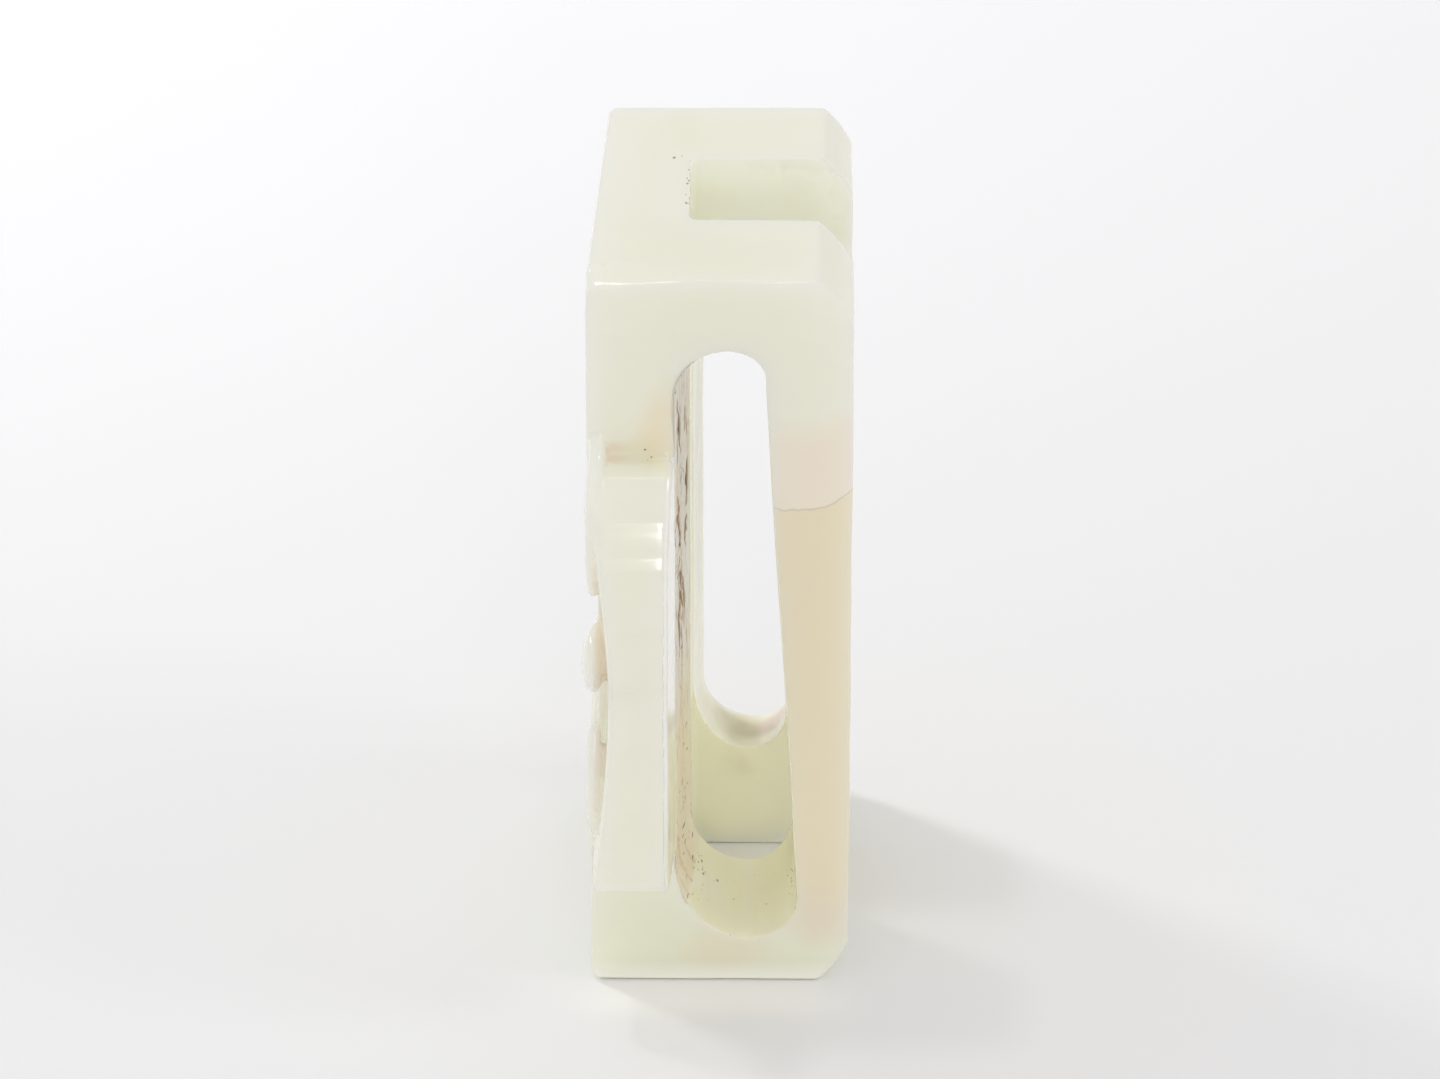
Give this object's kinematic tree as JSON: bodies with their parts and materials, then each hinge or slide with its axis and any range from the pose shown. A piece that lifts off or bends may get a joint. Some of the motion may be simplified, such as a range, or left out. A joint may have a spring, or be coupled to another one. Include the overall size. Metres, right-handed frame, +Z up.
{
  "type": "jade belt slide",
  "caption": "Upright jade belt slide: a plaque with a cloud scroll in low relief, a lobed tongue at one end and slotted walls on its back for a belt.",
  "frame": {"origin": "middle of the underside of the whole piece, on the surface that it stands on", "axes": "+X from the carved front to the outer faces of the slotted walls, +Y along the belt from the tongue to the far end, +Z up along the long edges"},
  "size_m": [0.017, 0.0284, 0.052],
  "materials": {
    "jade": "softly polished"
  },
  "bodies": {
    "root": {"jade_belt_slide": "jade"}
  },
  "joints": []
}
